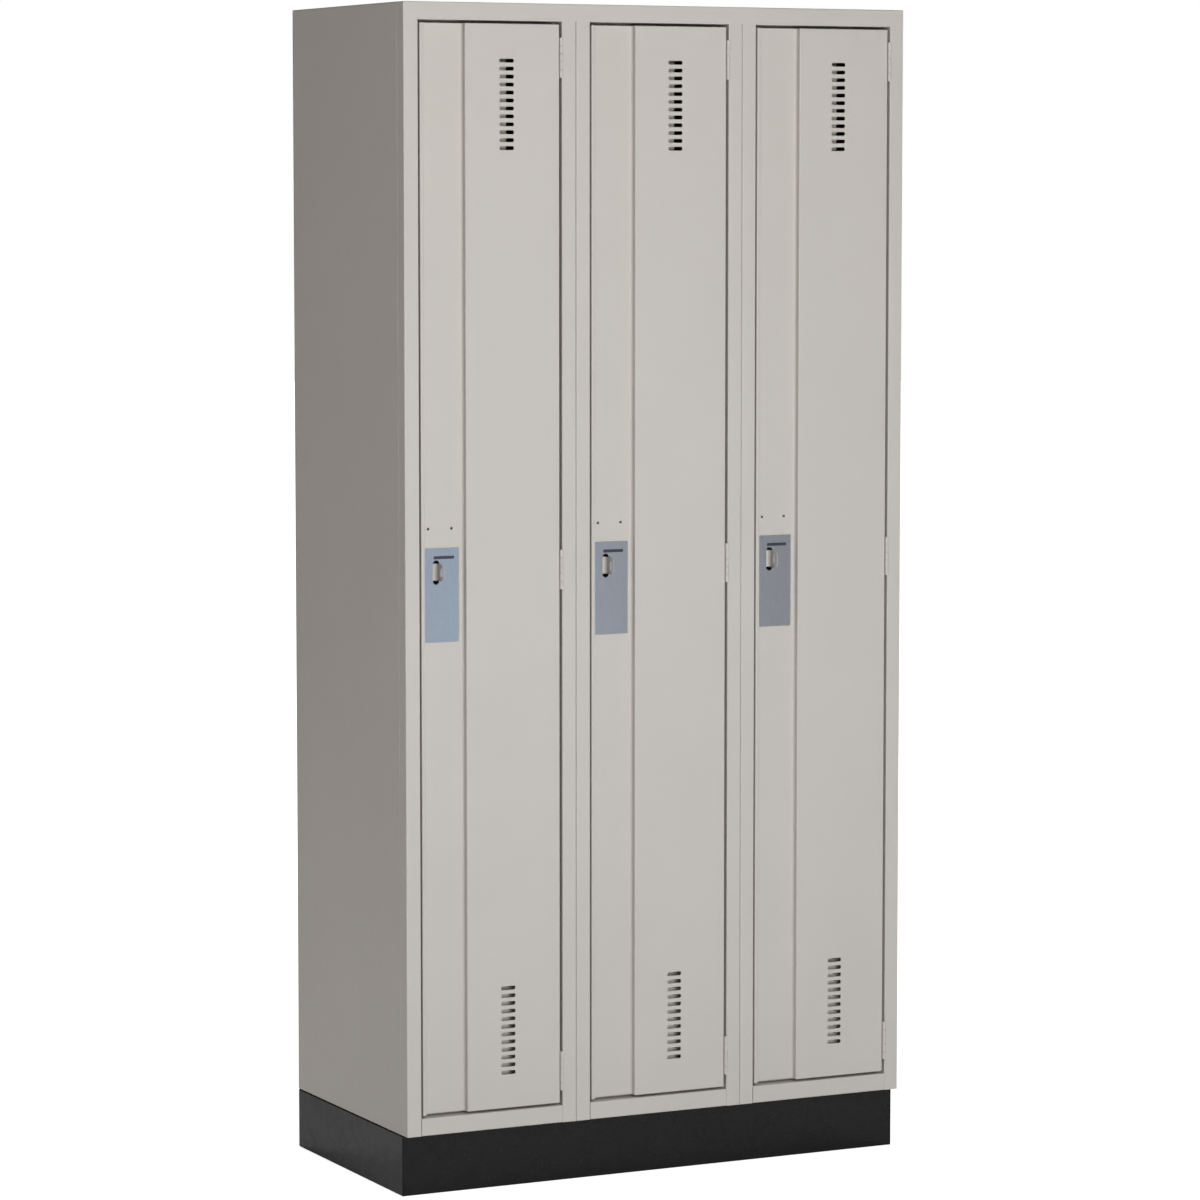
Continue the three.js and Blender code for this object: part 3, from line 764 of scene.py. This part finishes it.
# ---- Doors ----
LIP = 6.5 * MM  # the door's face between its latch edge and the pull channel
LIP_LEAN = 3.0 * MM  # how far the channel's wall at the lip leans
LIP_FILLET = 2.5 * MM
CHANNEL_END = 79.4 * MM  # from the latch edge to the channel's other wall
CHANNEL_DEPTH = 12 * MM
CHANNEL_FILLET = 4.5 * MM
PLATE_FILLET = 9.5 * MM
VENT_COUNT = 12  # at each end of a door
VENT_PITCH = 12.7 * MM
VENT_WIDTH = 25.4 * MM
VENT_ROUND = 2.4 * MM
VENT_END = 59 * MM  # from the door's end to the middle of the first slot
VENT_MIDDLE = 152.8 * MM  # from the latch edge
INNER_VENT_SHIFT = 24 * MM  # the inner pan's slots stand beside the outer ones
HASP_WIDTH = 11.4 * MM
HASP_LENGTH = 39 * MM
HASP_ROUND = 5.6 * MM

door_left, door_right = door_low.x, door_high.x
door_back = door_high.y
channel_floor = front + CHANNEL_DEPTH
channel_wall = door_left + CHANNEL_END
hasp_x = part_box("padlock_strike_1")[1].x - 4.3 * MM
through_floor = (channel_floor - 6 * MM, channel_floor + 4 * MM)


def door_corners():
    """The door in plan, from its latch edge round the pull channel to its hinge edge."""
    return [
        (door_left, door_back),
        (door_left, front, DOOR_BEND),
        (door_left + LIP, front, DOOR_BEND),
        (door_left + LIP + LIP_LEAN, channel_floor, LIP_FILLET),
        (channel_wall, channel_floor, CHANNEL_FILLET),
        (channel_wall, front, DOOR_BEND),
        (door_right, front, DOOR_BEND),
        (door_right, door_back),
    ]


def vent_cutters(middle, near, far):
    """Round-cornered slots at the door's top and as many at its bottom."""
    cutters = []
    for k in range(VENT_COUNT):
        from_end = VENT_END + k * VENT_PITCH
        for z in (door_high.z - from_end, door_low.z + from_end):
            outline = rounded_box((middle, z), VENT_WIDTH, VENT_PITCH / 2, VENT_ROUND)
            cutters.append(prism(outline, front_on, near, far))
    return joined(cutters)


def strike_pocket(near):
    """The room in the door's edge and inner pan for the strike's base."""
    width, half_height = 40 * MM, 19.5 * MM
    tall = (hasp_height - half_height, hasp_height + half_height)
    return box_mesh((door_left - PAST, door_left + width), (near, door_back + PAST), tall)


def hasp_cutter(extra):
    """The slot that the strike's tongue comes through, wider by extra."""
    width, length = HASP_WIDTH + extra, HASP_LENGTH + extra
    outline = rounded_box((hasp_x, hasp_height), width, length, HASP_ROUND + extra / 2, 10)
    return prism(outline, front_on, *through_floor)


def number_holes():
    """The two small holes for a number plate, above the stainless plate."""
    radius = 2.0 * MM
    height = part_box("pull_plate_1")[1].z + 31.2 * MM
    places = [(door_left + x, height) for x in (17.4 * MM, 58.7 * MM)]
    return [prism(circle(place, radius), front_on, *through_floor) for place in places]


def build_doors():
    """The outer pan with its channel, and the inner pan that closes it."""
    vent_x = door_left + VENT_MIDDLE
    outer = tray(door_corners(), DOOR_SHEET, DOOR_END_ROUND, plan, door_low.z, door_high.z)
    behind_channel = channel_floor + DOOR_SHEET + 0.8 * MM
    cuts = [
        vent_cutters(vent_x, front - PAST, front + 3 * PAST),
        joined([hasp_cutter(2 * MM), *number_holes()]),
        strike_pocket(behind_channel),
    ]
    per_locker("door_skin", worked(outer, cuts), PAINT, "door_outer", on_door=True)

    low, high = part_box("door_inner_1")
    corners = [(high.x, low.y), (high.x, high.y, DOOR_BEND), (low.x, high.y, DOOR_BEND), (low.x, low.y)]
    inner = tray(corners, DOOR_SHEET, DOOR_END_ROUND, plan, low.z, high.z)
    cuts = [
        vent_cutters(vent_x + INNER_VENT_SHIFT, high.y - 3 * PAST, high.y + PAST),
        strike_pocket(low.y - PAST),
    ]
    per_locker("door_back_pan", worked(inner, cuts), PAINT, "door_inner", on_door=True)


def build_plates():
    """The stainless plate behind the padlock, laid on the channel's floor with its edge just lifted."""
    low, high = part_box("pull_plate_1")
    radius = PLATE_FILLET - GAP
    centre = Vector((channel_wall - PLATE_FILLET, channel_floor - PLATE_FILLET))
    wrap = math.radians(8)
    straight = 0.4 * MM  # the last bit of the plate's edge
    end = centre + radius * Vector((math.sin(wrap), math.cos(wrap)))
    along = Vector((math.cos(wrap), -math.sin(wrap)))
    corner = (centre.x + radius * math.tan(wrap / 2), channel_floor - GAP)
    corners = [tuple(end + along * straight), (*corner, radius), (low.x, channel_floor - GAP)]
    mesh = bent_sheet(corners, PLATE_SHEET, plan, low.z, high.z)
    made = worked(mesh, [hasp_cutter(0)], round_by=0.25 * MM)
    per_locker("plate_behind_padlock", made, STAINLESS, "pull_plate", on_door=True)
    strip_width, strip_height, strip_round = 36 * MM, 5 * MM, 0.8 * MM
    strip_middle = (low.x + 33.7 * MM, high.z - 15.3 * MM)
    outline = rounded_box(strip_middle, strip_width, strip_height, strip_round)
    face = channel_floor - GAP - PLATE_SHEET
    film = prism(outline, front_on, face - 0.3 * MM, face - 0.05 * MM)
    per_locker("blank_strip", worked(film, round_by=0.08 * MM), FILM, on_door=True)


# ---- Hinges ----
KNUCKLES = 5


def knuckle_section(axis, side):
    """(outer, inner) points of a leaf that runs back from its curl round the pin."""
    outer, inner = 3.1 * MM, 1.7 * MM  # the curl's radii
    far, near = 1.95 * MM, 0.55 * MM  # the flat leaf's two faces, beside the axis
    back = 26.2 * MM
    pairs = [(Vector((far, back)), Vector((near, back)))]
    start_outer = math.acos(far / outer)
    start_inner = math.acos(near / inner)
    end = -math.radians(250)
    steps = 26
    for k in range(steps + 1):
        a = start_outer + (end - start_outer) * k / steps
        b = start_inner + (end - start_inner) * k / steps
        on_outer = outer * Vector((math.cos(a), math.sin(a)))
        on_inner = inner * Vector((math.cos(b), math.sin(b)))
        pairs.append((on_outer, on_inner))
    return [tuple(axis + Vector((side * p.x, p.y)) for p in pair) for pair in pairs]


def hinge_leaf(axis, low, high, side, own):
    """One leaf, with its curl cut away where the other leaf's knuckles are."""
    pitch, play = (high.z - low.z) / KNUCKLES, 0.4 * MM
    reach, behind = 4 * MM, 3.6 * MM  # clear of the curl
    cuts = []
    for k in range(KNUCKLES):
        if k not in own:
            bottom = low.z + k * pitch - (play if k > 0 else PAST)
            top = low.z + (k + 1) * pitch + (play if k < KNUCKLES - 1 else PAST)
            across = (axis.x - reach, axis.x + reach)
            cuts.append(box_mesh(across, (axis.y - reach, axis.y + behind), (bottom, top)))
    mesh = strip(knuckle_section(axis, side), plan, low.z, high.z)
    return worked(mesh, [joined(cuts)], round_by=0.45 * MM, segments=3)


def hinge_pin(axis, low, length):
    """The loose pin, with a flat head at each end."""
    radius, head, head_top = 1.5 * MM, 2.4 * MM, 0.9 * MM
    rim, bevel = 0.4 * MM, 0.6 * MM
    profile = [(0, -head_top), (head - bevel, -head_top), (head, -rim), (head, 0), (radius, 0)]
    profile += [(r, length - z) for r, z in reversed(profile[1:])] + [(0, length + head_top)]
    return turned(profile, (axis.x, axis.y, low.z), (0, 0, 1), 20)


def build_hinges():
    """Five-knuckle butt hinges: three knuckles on the frame's leaf, two on the door's, and a loose pin."""
    low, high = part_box("hinge_frame_leaf_1_bottom")
    axis = Vector(((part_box("hinge_door_leaf_1_bottom")[0].x + high.x) / 2, front - 2.2 * MM))
    frame_leaf = hinge_leaf(axis, low, high, 1, (0, 2, 4))
    door_leaf = hinge_leaf(axis, low, high, -1, (1, 3))
    pin = hinge_pin(axis, low, high.z - low.z)
    for n in LOCKERS:
        leaves = (("frame", frame_leaf, "cabinet"), ("door", door_leaf, f"door_{n}"))
        for where in PLACES:
            tag = f"{n}_{where}"
            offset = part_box(f"hinge_frame_leaf_{tag}")[0] - low
            for owner, leaf, body in leaves:
                node = f"hinge_{owner}_leaf_{tag}"
                piece(f"knuckles_{owner}_{tag}", moved(leaf, offset), PAINT, body, [node])
            piece(f"hinge_pin_{tag}", moved(pin, offset), PAINT, "cabinet")


# ---- Stage: camera, floor, lights ----


def camera():
    """The camera that took the photo, as fitted to its straight edges."""
    data = bpy.data.cameras.new("camera")
    data.lens, data.sensor_width = 137.9, 36
    data.clip_end = 100
    made = bpy.data.objects.new("camera", data)
    made.location = (-3.4335, -6.9443, 1.6498)
    turn, drop = math.radians(26.335), math.radians(5.237)
    made.rotation_euler = (math.pi / 2 - drop, 0, -turn)
    bpy.context.collection.objects.link(made)
    bpy.context.scene.camera = made


def area_light(name, place, target, size, power, colour):
    """A soft box, unseen by the camera, that shines from its place towards its target."""
    data = bpy.data.lights.new(name, "AREA")
    data.shape = "RECTANGLE"
    data.size, data.size_y = size
    data.energy, data.color = power, colour
    made = bpy.data.objects.new(name, data)
    made.location = place
    made.rotation_euler = (Vector(target) - Vector(place)).to_track_quat("-Z", "Y").to_euler()
    made.visible_camera = False
    bpy.context.collection.objects.link(made)


def build_backdrop():
    """White where the camera looks past the object, and dark for everything else."""
    world = bpy.data.worlds.new("studio")
    world.use_nodes = True
    nodes, links = world.node_tree.nodes, world.node_tree.links
    room = nodes["Background"]
    room.inputs["Strength"].default_value = 0.0
    white = nodes.new("ShaderNodeBackground")
    white.inputs["Strength"].default_value = 1.0
    white.inputs["Color"].default_value = (1, 1, 1, 1)
    seen = nodes.new("ShaderNodeLightPath").outputs["Is Camera Ray"]
    mix = nodes.new("ShaderNodeMixShader")
    links.new(seen, mix.inputs["Fac"])
    links.new(room.outputs[0], mix.inputs[1])
    links.new(white.outputs[0], mix.inputs[2])
    links.new(mix.outputs[0], nodes["World Output"].inputs["Surface"])
    bpy.context.scene.world = world
    bpy.context.scene.view_settings.view_transform = "Standard"


def build_lights():
    """Soft boxes round the object, and two cards that the stainless plates mirror."""
    middle = (0, front, 1.0)
    area_light("key", (-0.5, front - 4.4, 3.35), middle, (1.6, 1.6), 112, (1, 0.98, 0.99))
    area_light("low_fill", (-0.7, front - 3.8, 0.75), middle, (1.0, 1.0), 51, (0.97, 1, 1))
    area_light("side_fill", (body_left - 5.0, 0, 2.2), middle, (2.5, 2.5), 73, (1, 0.98, 0.98))
    area_light("back_fill", (2.5, 4.2, 4.2), (0, 0.2, 1.3), (2.5, 2.5), 110, (1, 0.99, 0.98))
    side_foot = (body_left, 0, 0.2)
    area_light("floor_bounce", (body_left - 0.7, 0.2, 0.02), side_foot, (0.6, 0.3), 0.5, (1, 1, 1))
    card_height = hasp_height - 0.2
    lit = (0.1, front, card_height)
    area_light("grey_card", (1.1, front - 2.2, card_height), lit, (1.3, 1.0), 2.2, (0.95, 0.95, 1))
    lit = (-0.4, front, card_height)
    area_light("blue_card", (0.3, front - 1.5, card_height), lit, (0.35, 0.9), 0.45, (0.25, 0.6, 1))


def floor_paper():
    """Matt white paper whose glow, which only the camera sees, grows with the distance from the object."""
    material = bpy.data.materials.new("floor")
    material.use_nodes = True
    nodes, links = material.node_tree.nodes, material.node_tree.links
    shader = nodes["Principled BSDF"]
    shader.inputs["Base Color"].default_value = (0.8, 0.8, 0.8, 1)
    shader.inputs["Roughness"].default_value = 0.9
    shader.inputs["Emission Color"].default_value = (1, 1, 1, 1)
    distance = nodes.new("ShaderNodeVectorMath")
    distance.operation = "LENGTH"
    links.new(nodes.new("ShaderNodeTexCoord").outputs["Object"], distance.inputs[0])
    spread = nodes.new("ShaderNodeMapRange")
    links.new(distance.outputs["Value"], spread.inputs["Value"])
    for name, number in (("From Min", 1.0), ("From Max", 5.0), ("To Min", 0.8), ("To Max", 1.3)):
        spread.inputs[name].default_value = number
    seen = nodes.new("ShaderNodeLightPath").outputs["Is Camera Ray"]
    glow = nodes.new("ShaderNodeMath")
    glow.operation = "MULTIPLY"
    links.new(seen, glow.inputs[0])
    links.new(spread.outputs["Result"], glow.inputs[1])
    links.new(glow.outputs[0], shader.inputs["Emission Strength"])
    shader.inputs["Specular IOR Level"].default_value = 0
    return material


def build_floor():
    """A round sheet of paper, wide enough to reach past the picture's edges."""
    radius, below = 30, 0.2 * MM
    shape = bmesh.new()
    bmesh.ops.create_circle(shape, cap_ends=True, radius=radius, segments=96)
    mesh = bpy.data.meshes.new("floor")
    shape.to_mesh(mesh)
    shape.free()
    floor = bpy.data.objects.new("floor", mesh)
    floor.location.z = -below
    mesh.materials.append(floor_paper())
    bpy.context.collection.objects.link(floor)


camera()
build_base()
build_walls()
build_body_rivets()
build_uprights()
build_top_rail()
build_bottom_rails()
build_floor_and_shelf()
build_shelf_hooks()
build_wall_hooks()
build_bumpers()
build_strikes()
build_doors()
build_plates()
build_hinges()
build_backdrop()
build_lights()
build_floor()
